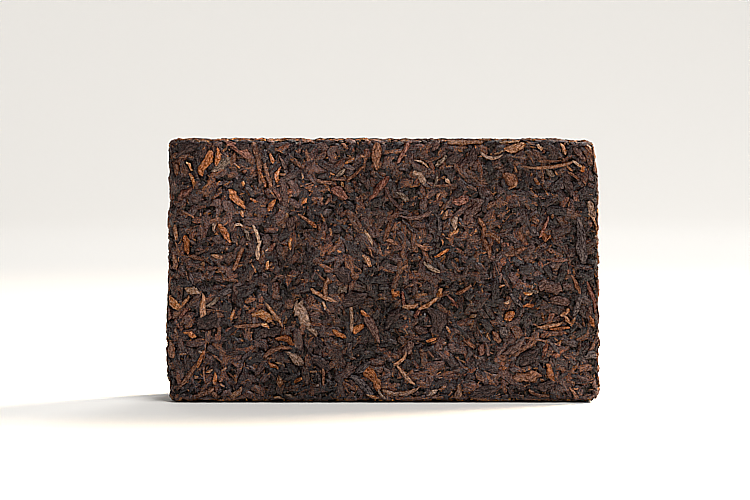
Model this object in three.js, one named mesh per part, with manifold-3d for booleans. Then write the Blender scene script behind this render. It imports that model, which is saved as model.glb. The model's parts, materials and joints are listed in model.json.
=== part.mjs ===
// A brick of pressed ripe pu erh tea, standing on one of its long edges.
// Millimetres, +Z up. The origin is on the floor under the middle of the brick: X runs along it, Y through its
// thickness, and the broad face at -Y is its front. The brick is one solid: a block as it leaves the press, with the
// largest strips, flakes and stalks of leaf standing proud of it, and one long edge flat enough to stand on.
import * as THREE from 'three';
import { mergeVertices } from 'three/addons/utils/BufferGeometryUtils.js';
import Module from 'manifold-3d';

// Driving sizes
const LENGTH = 140;
const THICKNESS = 25;
const HEIGHT = 85.5;
const EDGE_RADIUS = 2.2; // rounding that the press leaves on every edge
const LEFT_RIM = { width: 3.4, drop: 1.1 }; // the front's left edge is rounded off further than the others
const FOOT_SPREAD = 0.8; // how much further each end reaches at the foot than at the top
const LEAF_RISE = 0.7; // from the matted tea up to the press's own face, which the large leaves reach
const LEAF_SUNK = [0.25, 0.45]; // of a leaf's middle below the surface of the matted tea
const MAT_RELIEF = [-0.35, 0.3]; // crags of the matted tea between the large leaves, down and up
const MAT_CELL = 5.8; // across one crag
const SEED = 7581;

// Where the brick is worn or swollen: the place, how far round it that reaches and how far the surface has moved.
const WEAR = [
  { name: 'top right corner', at: [70, 0, 85], reach: 9, move: [-1.4, 0, -1.1] },
  { name: 'foot, left corner', at: [-70, 0, 3], reach: 6, move: [0.7, 0, 0] },
  { name: 'foot, right corner', at: [70, 0, 0], reach: 4, move: [-1.2, 0, 0] },
  { name: 'swelling above the foot, left', at: [-70, 0, 21], reach: 14, move: [-0.4, 0, 0] },
  { name: 'hollow, left', at: [-70, 0, 68], reach: 3, move: [0.4, 0, 0] },
];

// Leaves large enough to be shapes of their own: how many, and the least and most of each size.
// Sides and steps are the facets round a leaf and along it, and bend is the most that it curves, in radians.
const LEAVES = [
  { name: 'flake', count: 54, length: [6, 9], width: [3.2, 4.8], sides: 5, steps: 4, bend: 0.35 },
  { name: 'strip', count: 98, length: [9, 14], width: [2.1, 3.2], sides: 5, steps: 4, bend: 1.1 },
  { name: 'stalk', count: 16, length: [9, 13], width: [1.5, 1.9], sides: 4, steps: 3, bend: 0.4 },
];
const LEAF_GAP = 9.8; // between the middles of two neighbouring leaves, where there is room for it

const OUTER = new THREE.Vector3(LENGTH / 2, THICKNESS / 2, HEIGHT / 2);
const BLOCK = OUTER.clone().subScalar(LEAF_RISE);
const CORE = BLOCK.clone().subScalar(EDGE_RADIUS);
const AXES = ['x', 'y', 'z'];
const HAIR = 1e-3; // less than this apart counts as the same place

// Random numbers from 0 to 1, the same ones each time for one seed.
function randomFrom(seed) {
  let state = seed >>> 0;
  return () => {
    state = (state + 0x6d2b79f5) >>> 0;
    let t = Math.imul(state ^ (state >>> 15), state | 1);
    t ^= t + Math.imul(t ^ (t >>> 7), t | 61);
    return ((t ^ (t >>> 14)) >>> 0) / 2 ** 32;
  };
}

const random = randomFrom(SEED);
const between = ([low, high]) => low + (high - low) * random();

// The nearest point of the plain block to a point at or above its surface, and the way out of the block there.
// The block has its middle at the origin here.
function onBlock(point) {
  const inner = point.clone().clamp(CORE.clone().negate(), CORE);
  const out = point.clone().sub(inner).normalize();
  return { point: inner.addScaledVector(out, EDGE_RADIUS), out };
}

// A point of the plain block as it is on the real brick: stood on the floor, spread at the foot, worn and swollen.
function asUsed(point) {
  const p = point.clone();
  p.z = ((p.z + BLOCK.z) * HEIGHT) / (2 * BLOCK.z + LEAF_RISE);
  if (p.y < 0) p.y += LEFT_RIM.drop * Math.max(0, 1 - (p.x + OUTER.x) / LEFT_RIM.width);
  p.x *= 1 + (FOOT_SPREAD / OUTER.x) * (1 - (2 * p.z) / HEIGHT);
  const moved = p.clone();
  for (const { at, reach, move } of WEAR) {
    const away = Math.hypot(p.x - at[0], p.z - at[2]) / reach;
    moved.addScaledVector(new THREE.Vector3(...move), Math.exp(-away * away));
  }
  return moved;
}

// Gives every vertex of a geometry the place that a function works out for it.
function reshape(geometry, place) {
  const at = geometry.getAttribute('position');
  const p = new THREE.Vector3();
  for (let i = 0; i < at.count; i += 1) {
    p.fromBufferAttribute(at, i);
    const q = place(p);
    at.setXYZ(i, q.x, q.y, q.z);
  }
  return geometry;
}

// A closed mesh with one vertex at each corner, which is all that moving and joining it needs.
function bareMesh(geometry) {
  geometry.deleteAttribute('normal');
  geometry.deleteAttribute('uv');
  return mergeVertices(geometry, HAIR);
}

// The matted tea: the block's surface cut into crags, with one row of facets over each rounded edge, and flat where
// it stands on the floor.
function matBlock() {
  const size = BLOCK.clone().multiplyScalar(2);
  const cells = size.clone().divideScalar(MAT_CELL).round();
  const onFace = (p, axis) => Math.abs(p[axis]) > BLOCK[axis] - HAIR;
  const alongFace = (p, axis) => {
    const cell = Math.round(((p[axis] / BLOCK[axis] + 1) / 2) * cells[axis]);
    const inner = (2 * (cell - 1)) / (cells[axis] - 2) - 1;
    const atPanelEdge = Math.abs(inner) > 1 - HAIR;
    return CORE[axis] * inner + (atPanelEdge ? 0 : 0.5 * MAT_CELL * (random() - 0.5));
  };
  return reshape(bareMesh(new THREE.BoxGeometry(...size, ...cells)), (p) => {
    const standsOnFloor = p.z < -BLOCK.z + HAIR;
    for (const axis of AXES) {
      if (!onFace(p, axis)) p[axis] = alongFace(p, axis);
    }
    const { point, out } = onBlock(p);
    return asUsed(standsOnFloor ? point : point.addScaledVector(out, between(MAT_RELIEF)));
  });
}

// A leaf lying flat: X along it, Y across it and Z up, from -1 to 1 at its thickest. It tapers to both ends, is
// narrower at one of them, bows to one side and is pressed flat above and below.
function leafForm({ length, width, sides, steps, bend }) {
  const size = { x: between(length) / 2, y: between(width) / 2 };
  const curve = bend * (2 * random() - 1);
  const turn = random() * Math.PI;
  const narrowing = 0.1 + 0.2 * random();
  const ball = new THREE.SphereGeometry(1, sides, steps).rotateY(turn).rotateZ(-Math.PI / 2);
  return reshape(bareMesh(ball), (p) => {
    const along = p.x * size.x;
    const bow = curve * size.x * (p.x * p.x / 2 - 1 / 6);
    const across = p.y * size.y * (1 - narrowing * p.x) + bow;
    return new THREE.Vector3(along, across, Math.sign(p.z) * Math.abs(p.z) ** 0.6);
  });
}

// A place on the block's surface, chosen evenly over its area, and the way out of the block there.
function anyPlace() {
  const { x, y, z } = BLOCK;
  const areas = [x * z, x * z, y * z, y * z, x * y];
  let pick = random() * areas.reduce((sum, area) => sum + area);
  const face = areas.findIndex((area) => (pick -= area) < 0);
  const a = 2 * random() - 1;
  const b = 2 * random() - 1;
  const faces = [
    [a * x, -y, b * z],
    [a * x, y, b * z],
    [-x, a * y, b * z],
    [x, a * y, b * z],
    [a * x, b * y, z],
  ];
  return onBlock(new THREE.Vector3(...faces[face]));
}

// A leaf pressed into the surface: it lies along the block, and bends over an edge where it meets one.
function seatedLeaf(kind, { point, out }) {
  const along = new THREE.Vector3(random() - 0.5, random() - 0.5, random() - 0.5).cross(out).normalize();
  const across = out.clone().cross(along);
  const sunk = between(LEAF_SUNK);
  return reshape(leafForm(kind), (p) => {
    const flat = point.clone().addScaledVector(along, p.x).addScaledVector(across, p.y);
    const base = onBlock(flat.addScaledVector(out, HAIR));
    return asUsed(base.point.addScaledVector(base.out, p.z * (LEAF_RISE + sunk) - sunk));
  });
}

const wasm = await Module();
wasm.setup();

function solidOf(geometry) {
  const vertProperties = new Float32Array(geometry.getAttribute('position').array);
  const triVerts = new Uint32Array(geometry.index.array);
  return new wasm.Manifold(new wasm.Mesh({ numProp: 3, vertProperties, triVerts }));
}

function geometryOf(solid) {
  const mesh = solid.getMesh();
  const geometry = new THREE.BufferGeometry();
  geometry.setAttribute('position', new THREE.BufferAttribute(mesh.vertProperties, 3));
  geometry.setIndex(new THREE.BufferAttribute(mesh.triVerts, 1));
  geometry.computeVertexNormals();
  return geometry;
}

// The matted block with its large leaves joined on, cut off level at the floor.
function teaBrickSolid() {
  const taken = [];
  let brick = solidOf(matBlock());
  for (const kind of LEAVES) {
    for (let made = 0; made < kind.count; made += 1) {
      let place = anyPlace();
      for (let tries = 0; tries < 60 && taken.some((t) => t.distanceTo(place.point) < LEAF_GAP); tries += 1) {
        place = anyPlace();
      }
      taken.push(place.point.clone());
      brick = brick.add(solidOf(seatedLeaf(kind, place)));
    }
  }
  const aboveFloor = new THREE.BoxGeometry(2 * LENGTH, 2 * LENGTH, 2 * LENGTH).translate(0, 0, LENGTH);
  return brick.intersect(solidOf(bareMesh(aboveFloor)));
}

const tea = new THREE.MeshStandardMaterial({ color: 0x3a2a24, roughness: 0.6, metalness: 0 });
const geometry = geometryOf(teaBrickSolid());
geometry.computeBoundingBox();
const middle = geometry.boundingBox.getCenter(new THREE.Vector3());
const teaBrick = new THREE.Mesh(geometry.translate(-middle.x, -middle.y, 0), tea);
teaBrick.name = 'tea_brick';

const part = new THREE.Group();
part.add(teaBrick);

export default part;
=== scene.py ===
"""A brick of pressed ripe pu erh tea: its leaves, laid and pressed over a core of matted tea."""

import json
import math

import bpy
import numpy as np
from bpy.props import FloatProperty, FloatVectorProperty, IntProperty, PointerProperty
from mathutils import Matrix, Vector

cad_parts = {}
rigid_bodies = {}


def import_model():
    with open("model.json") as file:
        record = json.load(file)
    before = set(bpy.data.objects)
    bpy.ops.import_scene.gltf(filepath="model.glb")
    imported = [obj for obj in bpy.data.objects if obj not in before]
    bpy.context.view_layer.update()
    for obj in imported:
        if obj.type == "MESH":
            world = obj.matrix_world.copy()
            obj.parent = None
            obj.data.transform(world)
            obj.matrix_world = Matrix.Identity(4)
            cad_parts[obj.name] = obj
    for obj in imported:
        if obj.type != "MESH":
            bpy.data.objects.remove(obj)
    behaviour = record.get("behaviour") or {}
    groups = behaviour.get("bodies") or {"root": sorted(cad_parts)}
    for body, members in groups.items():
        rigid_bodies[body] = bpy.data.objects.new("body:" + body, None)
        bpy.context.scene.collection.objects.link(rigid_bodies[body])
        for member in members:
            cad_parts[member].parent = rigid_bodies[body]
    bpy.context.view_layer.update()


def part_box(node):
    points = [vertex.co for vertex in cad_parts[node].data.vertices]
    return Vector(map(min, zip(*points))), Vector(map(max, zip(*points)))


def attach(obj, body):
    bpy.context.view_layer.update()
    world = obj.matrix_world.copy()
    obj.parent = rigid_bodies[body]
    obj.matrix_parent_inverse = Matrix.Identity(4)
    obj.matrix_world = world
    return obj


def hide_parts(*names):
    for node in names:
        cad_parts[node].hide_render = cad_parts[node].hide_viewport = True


bl_info = {
    "name": "Pressed tea brick",
    "version": (1, 0, 0),
    "blender": (4, 5, 0),
    "location": "View3D > Sidebar > Tea brick",
    "description": "Makes a brick of pressed tea leaves over its solid core",
    "category": "Object",
}

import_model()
NODE = "tea_brick"
BODY = "root"
LOW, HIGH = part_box(NODE)

MM = 0.001
TURN = 2 * math.pi

# How much further each end of the brick reaches at the foot than at the top
FOOT_SPREAD = 0.6 * MM
# Half of the press's own inside, which the highest leaves touch
HALF = Vector((HIGH.x - LOW.x - 2 * FOOT_SPREAD, HIGH.y - LOW.y, HIGH.z - LOW.z)) / 2

# How much dry leaf shines, where 0.5 is as much as any plain smooth matter does
SHEEN = 0.5
PALE_SHEEN = 0.3

# Sizes of what is uneven about pressed tea
SPECK = 0.3 * MM
GREY_FLECK = 0.6 * MM  # a grey fleck on the leaf, partly a painted cool sheen
CRACK = 3.0 * MM
REGION = 24 * MM  # a part of the brick that is darker or lighter than the rest
CLUMP = 3.4 * MM  # leaves that stand high or low together
SWELLING = 11 * MM
CRUMBLED_BIT = 2.6 * MM  # what has come away from a narrow side
MAT_LUMP = 4 * MM
MAT_WARP = 5 * MM
MAT_CRUMB = 0.8 * MM

DISPLAY_GAMMA = 2.2
DAYLIGHT = (0.97, 0.985, 1.0)
WARM_LIGHT = (1.0, 0.80, 0.58)

# Where the brick is worn or swollen: the place along and up the brick, how far round it that reaches, and how
# far the surface has moved along and up
WEAR = {
    "top right corner": ((0.0700, 0.0850), 0.0090, (-0.0010, -0.0008)),
    "foot, left corner": ((-0.0700, 0.0030), 0.0060, (0.0007, 0.0)),
    "foot, right corner": ((0.0700, 0.0), 0.0040, (-0.0006, 0.0)),
    "swelling above the foot, left": ((-0.0700, 0.0210), 0.0140, (-0.0004, 0.0)),
    "hollow, left": ((-0.0700, 0.0680), 0.0030, (0.0004, 0.0)),
}

# The leaves that catch the eye on the front, by their shade. Of each: how far right of the middle and how far
# up its own middle lies, the turn from level in degrees, its length and width, and its bend in radians. Sizes
# are in millimetres.
CHOSEN = {
    "cream": (
        (-46.8, 57.2, 20, 3.0, 0.7, -1.6), (-60.9, 36.3, 172, 4.0, 1.9, 0.2),
        (-58.0, 16.3, 120, 1.7, 0.8, 0.0), (7.3, 31.1, 10, 2.2, 1.5, 0.0), (39.6, 32.5, 25, 1.8, 0.9, 0.4),
        (50.2, 82.2, 130, 2.4, 1.1, 1.2), (-40.6, 54.6, 108, 5.4, 1.0, 0.3),
        (-40.0, 49.4, 82, 5.6, 1.2, -0.5), (12.5, 77.2, 152, 4.8, 0.6, 0.5),
        (-4.6, 53.4, 117, 5.0, 0.9, 0.2), (28.8, 28.1, 5, 1.7, 1.1, 0.0), (-33.2, 1.2, 165, 3.2, 0.9, 0.3),
        (-0.4, 2.4, 124, 4.2, 0.8, -0.2), (67.8, 58.6, 126, 5.6, 0.8, 0.2), (15.6, 3.3, 40, 2.8, 1.5, 0.0),
        (40.5, 84.4, 4, 5.4, 0.9, 0.1), (62.6, 77.0, 148, 3.4, 0.8, -0.4), (20.7, 71.4, 150, 1.7, 1.1, 0.0),
    ),
    "grey_tan": (
        (-25.6, 28.2, 118, 8.6, 3.3, 0.1), (-22.6, 23.3, 140, 4.0, 1.4, 0.3),
        (-28.2, 14.6, 132, 5.4, 2.2, 0.2), (67.0, 62.3, 112, 5.4, 1.9, -0.2),
        (11.8, 72.8, 130, 4.8, 1.7, 0.3), (34.6, 79.2, 172, 6.8, 1.0, -0.9),
        (-10.1, 27.6, 92, 8.2, 1.2, 0.1), (22.9, 57.8, 105, 3.2, 1.8, 0.2),
        (-54.2, 56.4, 100, 2.7, 1.1, 0.0),
    ),
    "tan": (
        (-57.5, 31.0, 91, 8.0, 1.8, 0.1), (-63.6, 32.3, 50, 5.0, 1.0, 0.2),
        (-34.8, 28.6, 127, 8.4, 1.0, 0.1), (-5.2, 46.0, 120, 4.0, 1.5, 0.1),
        (26.4, 84.2, 3, 10.5, 1.7, 0.0), (42.5, 82.2, 28, 5.6, 2.7, 0.1), (53.0, 76.1, 6, 15.0, 0.9, 0.3),
        (58.1, 81.9, 115, 3.6, 1.1, 0.2), (49.3, 71.3, 125, 2.4, 1.0, 0.0),
        (-18.3, 37.2, 78, 5.8, 1.6, 0.2), (-19.0, 34.4, 153, 8.8, 1.1, -0.3),
        (14.5, 32.0, 33, 6.6, 1.2, 0.1), (9.2, 31.3, 4, 3.6, 1.3, 0.0), (5.8, 14.0, 45, 5.2, 1.1, 0.6),
        (6.9, 9.2, 130, 8.4, 1.1, -0.2), (5.6, 3.5, 4, 11.0, 1.4, 0.7), (24.0, 3.5, 95, 4.4, 2.2, 0.1),
        (58.3, 29.2, 42, 3.2, 1.3, 0.2), (59.0, 26.9, 125, 2.8, 0.9, 0.0), (51.1, 27.8, 108, 2.8, 0.9, 0.2),
        (-33.1, 6.8, 74, 2.5, 2.0, 0.0), (20.0, 60.6, 65, 3.0, 1.4, 0.2), (17.7, 66.7, 60, 2.2, 0.8, 0.0),
        (35.4, 53.6, 150, 4.8, 1.5, 0.7), (53.2, 25.0, 12, 7.8, 1.2, 0.1),
        (-53.2, 47.3, 160, 3.0, 1.2, 0.0), (-46.9, 3.1, 35, 4.4, 1.6, 0.2),
        (68.9, 14.3, 112, 4.2, 0.9, 0.2), (41.5, 69.6, 30, 3.0, 0.8, 0.0), (-66.6, 55.0, 95, 4.6, 1.2, 0.1),
    ),
    "gold": (
        (-38.7, 28.1, 160, 6.2, 2.4, 0.2), (-67.0, 32.4, 150, 5.4, 2.3, 0.1),
        (-37.6, 25.1, 160, 2.6, 1.2, 0.0), (-3.4, 1.9, 150, 3.6, 1.4, 0.1),
        (-62.2, 76.2, 124, 3.0, 0.7, 0.1), (-61.2, 71.5, 108, 4.6, 1.0, 0.4),
        (-29.8, 51.2, 94, 3.4, 1.0, 0.2), (-37.0, 44.6, 80, 2.4, 1.0, 0.0), (22.8, 54.9, 30, 3.2, 1.2, 0.0),
        (18.2, 35.6, 110, 2.2, 1.6, 0.0), (20.9, 23.7, 125, 2.4, 0.7, 0.0), (46.3, 35.4, 5, 2.4, 1.0, 0.2),
        (-55.5, 10.3, 10, 1.8, 0.9, 0.0), (-45.2, 60.9, 120, 1.8, 1.0, 0.0),
        (-44.9, 70.6, 100, 1.4, 0.9, 0.0),
    ),
    "orange": (
        (-57.0, 77.2, 66, 7.8, 2.3, -0.5), (-53.2, 79.1, 82, 5.0, 1.5, 0.2),
        (-39.0, 72.9, 108, 6.4, 1.2, 0.1), (-46.9, 65.6, 130, 7.4, 2.2, 0.1),
        (-41.5, 65.3, 150, 2.4, 0.9, 0.0), (-35.8, 63.7, 72, 3.2, 1.5, 0.0),
        (-50.8, 54.8, 118, 6.2, 1.7, 0.1), (-63.0, 51.0, 102, 5.6, 1.7, 0.3),
        (-25.2, 65.0, 65, 2.0, 1.1, 0.0), (-61.4, 22.3, 145, 3.0, 1.4, 0.2),
        (-53.6, 8.0, 84, 3.4, 1.1, 0.3), (-31.2, 20.4, 158, 5.6, 1.8, 0.6),
        (-35.0, 12.1, 148, 3.4, 1.1, 0.0), (-27.2, 7.4, 30, 2.6, 1.1, 0.0), (-8.0, 24.1, 48, 3.8, 1.9, 0.0),
        (-5.9, 28.9, 128, 2.8, 1.1, 0.0), (3.9, 35.3, 150, 2.8, 1.9, 0.0), (15.4, 20.4, 18, 2.8, 0.9, 0.3),
        (46.5, 31.5, 178, 3.2, 1.1, 0.1), (52.1, 53.6, 160, 2.6, 1.9, 0.0), (18.8, 48.3, 32, 4.6, 0.9, 0.1),
        (-22.8, 57.8, 142, 3.4, 1.1, 0.1), (53.3, 9.7, 112, 5.8, 1.6, 0.1),
        (-14.2, 22.3, 140, 4.0, 1.5, 0.0), (-34.0, 73.5, 84, 4.0, 1.3, -0.6),
        (64.3, 75.6, 72, 2.2, 1.2, 0.0), (38.3, 11.3, 20, 2.0, 1.2, 0.0), (-35.8, 78.6, 105, 3.0, 1.0, 0.0),
        (40.4, 28.2, 48, 3.4, 2.3, 0.0), (-3.4, 8.2, 126, 8.2, 3.0, 0.2), (66.7, 26.6, 100, 3.0, 1.5, 0.2),
        (-58.2, 14.2, 66, 5.0, 1.3, 0.1), (56.4, 24.2, 5, 5.8, 0.8, 0.0),
    ),
    "rust": (
        (-2.2, 79.6, 80, 7.2, 2.7, 0.1), (41.0, 72.0, 118, 4.8, 3.2, 0.1), (46.0, 8.6, 15, 7.4, 2.9, 0.2),
        (-40.2, 77.4, 102, 13.0, 1.5, 0.1), (-37.0, 73.2, 108, 7.0, 1.3, 0.1),
        (-46.4, 46.4, 68, 7.2, 1.3, 0.2), (-59.8, 46.9, 166, 4.6, 1.2, 0.2),
        (-66.8, 45.6, 92, 4.2, 1.6, 0.1), (-66.7, 75.4, 106, 4.2, 1.6, 0.2),
        (-48.2, 78.3, 70, 3.6, 1.4, 0.0), (-62.4, 8.6, 50, 11.0, 1.5, 0.1),
        (-34.0, 17.0, 18, 9.0, 1.4, -0.5), (-57.2, 3.1, 20, 6.2, 1.5, 0.2),
        (-53.6, 2.5, 130, 2.8, 1.5, 0.0), (1.4, 55.8, 72, 6.8, 1.3, 0.1), (2.8, 52.0, 160, 3.8, 1.2, 0.1),
        (19.4, 70.0, 6, 5.0, 0.9, 0.1), (33.0, 51.6, 104, 9.0, 1.5, 0.2), (31.8, 57.5, 110, 4.0, 1.4, 0.1),
        (44.2, 53.8, 112, 3.6, 1.3, 0.2), (42.4, 48.8, 22, 6.2, 1.7, 0.2), (27.5, 19.2, 140, 4.2, 1.3, 0.0),
        (-8.4, 74.2, 42, 7.2, 0.9, 0.2), (-42.6, 25.1, 5, 9.0, 1.0, 0.1), (60.9, 73.4, 148, 4.4, 0.8, 0.2),
        (-25.0, 59.3, 144, 5.0, 0.9, 0.1), (25.8, 36.4, 30, 5.2, 1.2, 0.2),
        (-67.6, 17.2, 92, 4.6, 2.6, 0.1), (61.8, 38.4, 115, 6.2, 1.1, 0.2), (60.9, 3.2, 122, 4.4, 1.0, 0.2),
        (36.2, 21.3, 112, 3.6, 1.6, 0.1), (-19.1, 9.6, 92, 7.0, 0.9, 0.2),
        (-12.3, 82.7, 130, 2.6, 1.0, 0.0), (66.9, 82.6, 100, 3.2, 2.3, 0.0), (53.5, 77.8, 4, 7.0, 0.8, 0.1),
        (49.6, 2.7, 160, 6.2, 1.0, -0.4), (12.4, 50.3, 150, 4.0, 1.1, 0.0),
        (-18.4, 71.0, 168, 5.4, 1.3, 0.1),
    ),
    "red": (
        (-1.4, 69.0, 53, 8.8, 1.9, 0.1), (-46.6, 81.8, 148, 9.0, 2.4, -0.2), (6.7, 81.0, 62, 8.2, 1.4, 0.1),
        (-68.9, 28.5, 84, 3.8, 2.3, 0.0), (-63.8, 28.8, 56, 4.2, 1.3, 0.1), (51.7, 56.6, 66, 6.8, 0.9, 0.1),
        (-35.6, 50.3, 42, 2.7, 1.3, 0.0), (24.8, 65.2, 18, 5.0, 2.3, 0.1),
        (-13.9, 67.6, 140, 5.2, 2.5, 0.1), (67.0, 34.4, 107, 9.2, 1.3, 0.2),
        (6.5, 33.4, 100, 4.8, 0.9, 0.1), (11.0, 29.0, 60, 3.2, 1.1, 0.0), (31.4, 17.2, 84, 3.4, 1.7, 0.0),
        (22.3, 32.9, 130, 4.8, 0.8, 0.1), (-33.8, 66.8, 118, 4.0, 1.3, 0.5),
        (-63.6, 67.5, 30, 4.6, 2.2, 0.0),
    ),
    "pink": (
        (28.5, 61.7, 40, 6.8, 2.8, 0.1), (53.4, 37.6, 170, 7.0, 3.2, 0.0), (56.6, 33.0, 160, 5.6, 2.6, 0.0),
        (42.0, 17.9, 36, 6.8, 2.1, 0.1), (-3.4, 24.3, 120, 9.2, 2.4, 0.1), (12.1, 23.7, 140, 3.6, 2.1, 0.0),
        (-32.2, 77.3, 112, 4.4, 1.2, 0.2), (10.4, 60.1, 8, 9.6, 1.3, 0.5), (3.6, 64.6, 133, 6.6, 1.2, 0.1),
        (-47.6, 35.2, 95, 5.0, 1.6, 0.1), (63.6, 80.4, 120, 4.0, 2.0, 0.0), (17.0, 83.4, 82, 4.0, 2.0, 0.0),
        (66.0, 29.0, 100, 3.8, 2.2, 0.0), (-29.6, 57.6, 100, 3.6, 2.4, 0.0), (8.0, 17.8, 80, 4.0, 2.6, 0.0),
    ),
    "slate": (
        (-6.4, 11.6, 42, 5.0, 2.0, 0.0), (-6.4, 5.8, 132, 8.0, 2.0, 0.2), (38.1, 23.6, 120, 3.6, 2.3, 0.1),
        (66.4, 15.4, 8, 4.2, 2.2, 0.1), (-42.7, 68.3, 128, 4.0, 1.6, 0.0), (42.6, 33.1, 132, 5.2, 1.4, 0.0),
        (63.6, 52.4, 94, 13.6, 3.0, 0.1), (17.9, 57.6, 98, 6.4, 1.2, 0.5), (8.2, 57.0, 134, 5.2, 1.1, 0.1),
        (48.3, 55.2, 120, 3.2, 2.2, 0.0), (54.6, 18.4, 130, 5.2, 1.3, 0.1),
        (-16.0, 37.2, 90, 3.2, 2.7, 0.0), (43.8, 20.2, 30, 3.0, 1.4, 0.0), (62.0, 31.2, 75, 5.4, 2.0, 0.1),
        (-51.0, 35.6, 30, 4.6, 2.0, 0.0),
    ),
    "black": (
        (-56.0, 26.4, 20, 6.2, 4.2, 0.0), (-9.2, 33.6, 10, 6.6, 3.8, 0.0),
        (-12.8, 41.2, 150, 5.4, 3.6, 0.0), (32.4, 3.6, 10, 8.0, 3.2, 0.0), (17.2, 26.6, 115, 9.4, 4.2, 0.1),
        (-45.6, 82.6, 5, 4.6, 2.4, 0.0), (-63.2, 82.0, 20, 6.4, 3.6, 0.0), (28.6, 79.0, 60, 4.6, 3.0, 0.0),
        (3.0, 27.4, 30, 5.0, 3.6, 0.0), (46.4, 14.6, 30, 6.2, 3.6, 0.0), (51.8, 5.6, 20, 6.0, 2.6, 0.1),
        (-20.2, 13.4, 150, 6.4, 3.0, 0.0), (59.4, 70.6, 110, 7.0, 2.6, -0.2),
        (-36.0, 23.0, 10, 6.2, 3.0, 0.0), (22.4, 78.2, 30, 4.6, 2.8, 0.0),
    ),
    "olive": (
        (-51.8, 76.6, 40, 6.4, 2.3, 0.1), (6.2, 66.6, 142, 4.2, 1.5, 0.1), (-13.2, 36.6, 30, 2.8, 2.0, 0.0),
        (17.0, 71.4, 76, 4.4, 0.8, 0.2), (18.6, 77.8, 48, 4.4, 1.3, 0.2), (53.6, 74.0, 128, 2.8, 1.6, 0.1),
        (-43.4, 54.2, 120, 3.6, 1.2, 0.1), (-29.9, 2.2, 160, 2.8, 1.2, 0.0),
        (-13.6, 74.0, 38, 3.4, 1.2, 0.0), (-54.6, 32.4, 40, 4.4, 1.2, 0.1),
        (15.4, 43.6, 150, 5.4, 1.2, -0.4), (48.0, 36.0, 175, 3.2, 0.9, 0.0),
    ),
}

# ---------------------------------------------------------------- node trees written as sums


class Wire:
    """A node's output that can stand in a sum. Vectors and colours get vector maths, numbers plain maths."""

    def __init__(self, graph, socket):
        self.graph = graph
        self.socket = socket
        self.is_vector = socket.type in {"VECTOR", "RGBA"}

    def __add__(self, other):
        return self.graph.maths("ADD", self, other)

    def __radd__(self, other):
        return self.graph.maths("ADD", other, self)

    def __sub__(self, other):
        return self.graph.maths("SUBTRACT", self, other)

    def __rsub__(self, other):
        return self.graph.maths("SUBTRACT", other, self)

    def __mul__(self, other):
        return self.graph.maths("MULTIPLY", self, other)

    def __rmul__(self, other):
        return self.graph.maths("MULTIPLY", other, self)

    def __truediv__(self, other):
        return self.graph.maths("DIVIDE", self, other)

    def __rtruediv__(self, other):
        return self.graph.maths("DIVIDE", other, self)

    def __pow__(self, other):
        return self.graph.maths("POWER", self, other)

    def __neg__(self):
        return self.graph.maths("MULTIPLY", self, -1.0)


class Graph:
    """Writes one node tree, for a shape or for a material."""

    def __init__(self, tree):
        self.tree = tree
        tree.nodes.clear()

    def node(self, kind, settings=None, values=None, out=0):
        """Makes a node: first its settings, then its inputs' values and wires. Gives the output named out."""
        made = self.tree.nodes.new(kind)
        for name, value in (settings or {}).items():
            setattr(made, name, value)
        shown = [socket for socket in made.inputs if socket.enabled]
        for key, value in (values or {}).items():
            socket = shown[key] if isinstance(key, int) else next(s for s in shown if s.name == key)
            self.feed(socket, value)
        given = [socket for socket in made.outputs if socket.enabled]
        if not given:
            return made
        if isinstance(out, tuple):
            return tuple(Wire(self, next(s for s in given if s.name == name)) for name in out)
        return Wire(self, given[out] if isinstance(out, int) else next(s for s in given if s.name == out))

    def feed(self, socket, value):
        if isinstance(value, Wire):
            self.tree.links.new(value.socket, socket)
        elif socket.type == "RGBA" and len(value) == 3:
            socket.default_value = (*value, 1.0)
        elif socket.type in {"VECTOR", "RGBA"} and isinstance(value, (int, float)):
            socket.default_value = (value,) * len(socket.default_value)
        else:
            socket.default_value = value

    def maths(self, operation, *values):
        """A maths node on numbers, or a vector maths node where one of the values is a vector."""
        vector = any(v.is_vector if isinstance(v, Wire) else not isinstance(v, (int, float)) for v in values)
        kind = "ShaderNodeVectorMath" if vector else "ShaderNodeMath"
        return self.node(kind, {"operation": operation}, dict(enumerate(values)))

    def vector(self, x, y, z):
        return self.node("ShaderNodeCombineXYZ", None, {"X": x, "Y": y, "Z": z})

    def parts(self, vector):
        return self.node("ShaderNodeSeparateXYZ", None, {0: vector}, ("X", "Y", "Z"))

    def noise(self, at, size, detail=2.0, roughness=0.5, distortion=0.0):
        """Soft noise from 0 to 1, about 0.5, whose lumps are about this size."""
        values = {
            "Vector": at,
            "Scale": 1 / size,
            "Detail": detail,
            "Roughness": roughness,
            "Distortion": distortion,
        }
        return self.node("ShaderNodeTexNoise", None, values)

    def step(self, value, low, high, to_low=0.0, to_high=1.0):
        """Goes smoothly from to_low, where the value is low, to to_high, where it is high."""
        values = {"Value": value, "From Min": low, "From Max": high, "To Min": to_low, "To Max": to_high}
        return self.node("ShaderNodeMapRange", {"interpolation_type": "SMOOTHSTEP"}, values)


# ---------------------------------------------------------------- trees that shape the brick


def shape_tree(name, inputs):
    """An empty geometry tree with these named inputs, its graph and the wires of its inputs."""
    tree = bpy.data.node_groups.new(name, "GeometryNodeTree")
    tree.interface.new_socket("Geometry", in_out="OUTPUT", socket_type="NodeSocketGeometry")
    tree.interface.new_socket("Geometry", in_out="INPUT", socket_type="NodeSocketGeometry")
    for label, kind in inputs.items():
        tree.interface.new_socket(label, in_out="INPUT", socket_type="NodeSocket" + kind)
    graph = Graph(tree)
    names = ("Geometry", *inputs)
    wires = graph.node("NodeGroupInput", None, None, names)
    return graph, dict(zip(names, wires))


def close_tree(graph, geometry, material=None):
    if material:
        geometry = graph.node("GeometryNodeSetMaterial", None, {"Geometry": geometry, "Material": material})
    graph.node("NodeGroupOutput", None, {"Geometry": geometry})
    return graph.tree


def named(graph, name, kind="FLOAT"):
    return graph.node("GeometryNodeInputNamedAttribute", {"data_type": kind}, {"Name": name}, "Attribute")


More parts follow.
